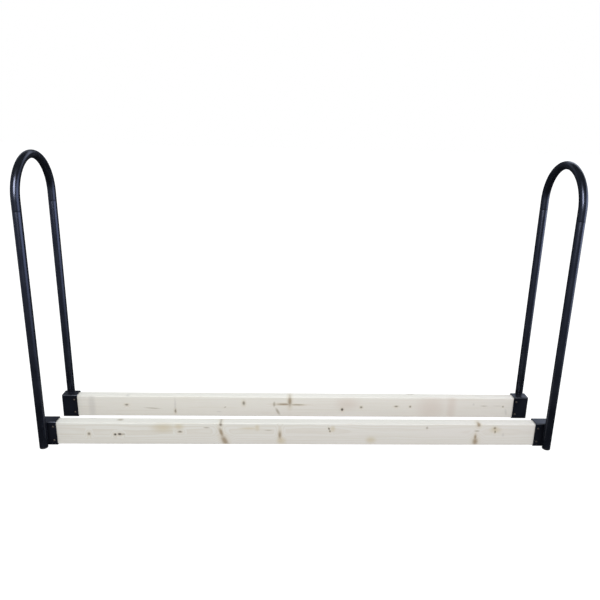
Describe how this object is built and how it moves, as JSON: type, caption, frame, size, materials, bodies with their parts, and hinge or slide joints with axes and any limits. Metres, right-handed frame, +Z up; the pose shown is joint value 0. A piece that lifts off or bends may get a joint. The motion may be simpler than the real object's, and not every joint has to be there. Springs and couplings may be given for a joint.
{
  "type": "firewood log rack",
  "caption": "Long firewood rack: an inverted-U steel tube hoop at each end, with welded sheet-steel sleeves that hold timber rails set on edge.",
  "frame": {"origin": "on the floor plane, under the middle of the rack", "axes": "+X along the rails from the left end frame to the right one, +Y from front to back, +Z up"},
  "size_m": [1.938, 0.32, 1.08],
  "materials": {
    "steel_tube": "black powder coat, satin, on round steel tube",
    "steel_sleeve": "black powder coat, satin, on folded sheet steel",
    "weld_bead": "black powder coat over a rippled weld bead",
    "rail_timber": "planed, unfinished pale whitewood with small knots",
    "foot_plastic": "moulded black plastic, matte",
    "screw_zinc": "bright zinc plate"
  },
  "bodies": {
    "root": {"left_bow": "steel_tube", "left_front_leg": "steel_tube", "left_front_foot_plug": "foot_plastic", "left_front_sleeve": "steel_sleeve", "left_front_weld_inner": "weld_bead", "left_front_weld_outer": "weld_bead", "left_front_lower_screw": "screw_zinc", "left_front_upper_screw": "screw_zinc", "left_rear_leg": "steel_tube", "left_rear_foot_plug": "foot_plastic", "left_rear_sleeve": "steel_sleeve", "left_rear_weld_inner": "weld_bead", "left_rear_weld_outer": "weld_bead", "left_rear_lower_screw": "screw_zinc", "left_rear_upper_screw": "screw_zinc", "right_bow": "steel_tube", "right_front_leg": "steel_tube", "right_front_foot_plug": "foot_plastic", "right_front_sleeve": "steel_sleeve", "right_front_weld_inner": "weld_bead", "right_front_weld_outer": "weld_bead", "right_front_lower_screw": "screw_zinc", "right_front_upper_screw": "screw_zinc", "right_rear_leg": "steel_tube", "right_rear_foot_plug": "foot_plastic", "right_rear_sleeve": "steel_sleeve", "right_rear_weld_inner": "weld_bead", "right_rear_weld_outer": "weld_bead", "right_rear_lower_screw": "screw_zinc", "right_rear_upper_screw": "screw_zinc", "front_board": "rail_timber", "rear_board": "rail_timber"}
  },
  "joints": []
}
